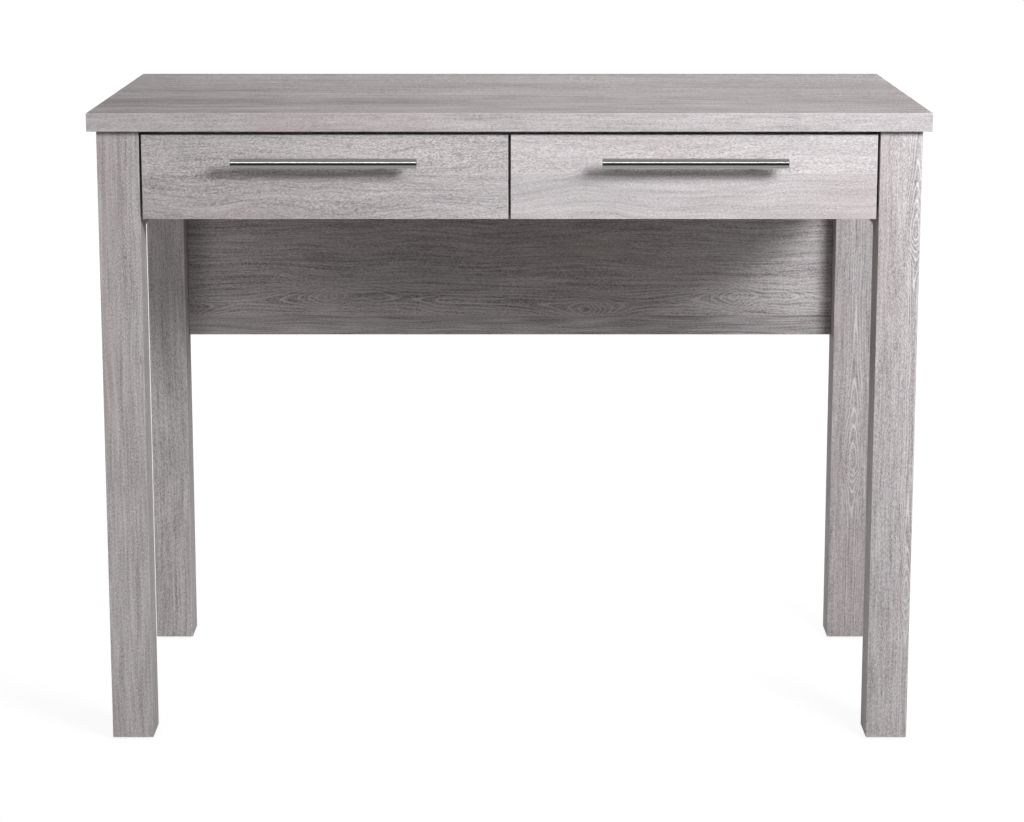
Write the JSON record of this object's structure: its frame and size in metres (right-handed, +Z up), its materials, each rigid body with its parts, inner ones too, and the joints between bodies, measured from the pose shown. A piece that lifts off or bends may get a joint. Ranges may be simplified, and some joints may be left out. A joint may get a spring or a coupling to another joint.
{
  "type": "writing desk",
  "caption": "Writing desk in grey oak laminate: square legs, overhanging flat desktop, modesty panel, and drawers side by side with straight bar handles on roller runners.",
  "frame": {"origin": "on the floor, below the middle of the bounding box of the whole desk with its handles", "axes": "+X to the right as seen from the front, +Y from the front to the back, +Z up; the drawers open towards -Y"},
  "size_m": [1, 0.523, 0.778],
  "materials": {
    "oak_laminate": "grey oak laminate, embossed grain, satin",
    "drawer_liner": "light grey melamine, satin",
    "drawer_bottom": "thin grey board, matte",
    "satin_steel": "satin, lightly brushed along the bar",
    "runner_enamel": "white enamel, satin",
    "nylon": "moulded, satin",
    "zinc": "zinc plated, satin",
    "glide_plastic": "moulded, matte"
  },
  "bodies": {
    "frame": {"desktop": "oak_laminate", "leg_front_left": "oak_laminate", "leg_front_right": "oak_laminate", "leg_rear_left": "oak_laminate", "leg_rear_right": "oak_laminate", "glide_front_left": "glide_plastic", "glide_front_right": "glide_plastic", "glide_rear_left": "glide_plastic", "glide_rear_right": "glide_plastic", "side_rail_left": "oak_laminate", "side_rail_right": "oak_laminate", "modesty_panel": "oak_laminate", "centre_divider": "oak_laminate", "front_rail": "oak_laminate", "cabinet_runner_left_inner": "runner_enamel", "cabinet_runner_left_outer": "runner_enamel", "cabinet_runner_right_inner": "runner_enamel", "cabinet_runner_right_outer": "runner_enamel", "cam_lock_rail_front_left": "zinc", "cam_lock_rail_front_right": "zinc", "cam_lock_rail_rear_left": "zinc", "cam_lock_rail_rear_right": "zinc", "cam_lock_panel_lower_left": "zinc", "cam_lock_panel_lower_right": "zinc", "cam_lock_panel_upper_left": "zinc", "cam_lock_panel_upper_right": "zinc"},
    "drawer_left": {"drawer_front_left": "oak_laminate", "drawer_side_left_inner": "drawer_liner", "drawer_side_left_outer": "drawer_liner", "drawer_back_left": "drawer_liner", "drawer_bottom_left": "drawer_bottom", "handle_bar_left": "satin_steel", "handle_post_left_1": "satin_steel", "handle_post_left_2": "satin_steel", "handle_screw_left_1": "zinc", "handle_screw_left_2": "zinc", "drawer_runner_left_inner": "runner_enamel", "drawer_runner_left_outer": "runner_enamel"},
    "cabinet_roller_left_inner": {"cabinet_roller_left_inner": "nylon"},
    "drawer_roller_left_inner": {"drawer_roller_left_inner": "nylon"},
    "cabinet_roller_left_outer": {"cabinet_roller_left_outer": "nylon"},
    "drawer_roller_left_outer": {"drawer_roller_left_outer": "nylon"},
    "drawer_right": {"drawer_front_right": "oak_laminate", "drawer_side_right_inner": "drawer_liner", "drawer_side_right_outer": "drawer_liner", "drawer_back_right": "drawer_liner", "drawer_bottom_right": "drawer_bottom", "handle_bar_right": "satin_steel", "handle_post_right_1": "satin_steel", "handle_post_right_2": "satin_steel", "handle_screw_right_1": "zinc", "handle_screw_right_2": "zinc", "drawer_runner_right_inner": "runner_enamel", "drawer_runner_right_outer": "runner_enamel"},
    "cabinet_roller_right_inner": {"cabinet_roller_right_inner": "nylon"},
    "drawer_roller_right_inner": {"drawer_roller_right_inner": "nylon"},
    "cabinet_roller_right_outer": {"cabinet_roller_right_outer": "nylon"},
    "drawer_roller_right_outer": {"drawer_roller_right_outer": "nylon"}
  },
  "joints": [
    {"name": "drawer_left_slide", "type": "slide", "parent": "frame", "child": "drawer_left", "axis": [0, -1, 0], "range_m": [0, 0.26]},
    {"name": "cabinet_roller_left_inner_spin", "type": "hinge", "parent": "frame", "child": "cabinet_roller_left_inner", "pos_m": [-0.0131, -0.1965, 0.6714], "axis": [1, 0, 0], "range_deg": [0, 1656]},
    {"name": "drawer_roller_left_inner_spin", "type": "hinge", "parent": "drawer_left", "child": "drawer_roller_left_inner", "pos_m": [-0.0143, 0.1298, 0.6688], "axis": [1, 0, 0], "range_deg": [0, 1656]},
    {"name": "cabinet_roller_left_outer_spin", "type": "hinge", "parent": "frame", "child": "cabinet_roller_left_outer", "pos_m": [-0.4344, -0.1965, 0.6714], "axis": [1, 0, 0], "range_deg": [0, 1656]},
    {"name": "drawer_roller_left_outer_spin", "type": "hinge", "parent": "drawer_left", "child": "drawer_roller_left_outer", "pos_m": [-0.4332, 0.1298, 0.6688], "axis": [1, 0, 0], "range_deg": [0, 1656]},
    {"name": "drawer_right_slide", "type": "slide", "parent": "frame", "child": "drawer_right", "axis": [0, -1, 0], "range_m": [0, 0.26]},
    {"name": "cabinet_roller_right_inner_spin", "type": "hinge", "parent": "frame", "child": "cabinet_roller_right_inner", "pos_m": [0.0131, -0.1965, 0.6714], "axis": [1, 0, 0], "range_deg": [0, 1656]},
    {"name": "drawer_roller_right_inner_spin", "type": "hinge", "parent": "drawer_right", "child": "drawer_roller_right_inner", "pos_m": [0.0143, 0.1298, 0.6688], "axis": [1, 0, 0], "range_deg": [0, 1656]},
    {"name": "cabinet_roller_right_outer_spin", "type": "hinge", "parent": "frame", "child": "cabinet_roller_right_outer", "pos_m": [0.4344, -0.1965, 0.6714], "axis": [1, 0, 0], "range_deg": [0, 1656]},
    {"name": "drawer_roller_right_outer_spin", "type": "hinge", "parent": "drawer_right", "child": "drawer_roller_right_outer", "pos_m": [0.4332, 0.1298, 0.6688], "axis": [1, 0, 0], "range_deg": [0, 1656]}
  ],
  "couplings": [
    {"joint": "cabinet_roller_left_inner_spin", "follows": "drawer_left_slide", "rad_per_m": 111.11},
    {"joint": "drawer_roller_left_inner_spin", "follows": "drawer_left_slide", "rad_per_m": 111.11},
    {"joint": "cabinet_roller_left_outer_spin", "follows": "drawer_left_slide", "rad_per_m": 111.11},
    {"joint": "drawer_roller_left_outer_spin", "follows": "drawer_left_slide", "rad_per_m": 111.11},
    {"joint": "cabinet_roller_right_inner_spin", "follows": "drawer_right_slide", "rad_per_m": 111.11},
    {"joint": "drawer_roller_right_inner_spin", "follows": "drawer_right_slide", "rad_per_m": 111.11},
    {"joint": "cabinet_roller_right_outer_spin", "follows": "drawer_right_slide", "rad_per_m": 111.11},
    {"joint": "drawer_roller_right_outer_spin", "follows": "drawer_right_slide", "rad_per_m": 111.11}
  ]
}
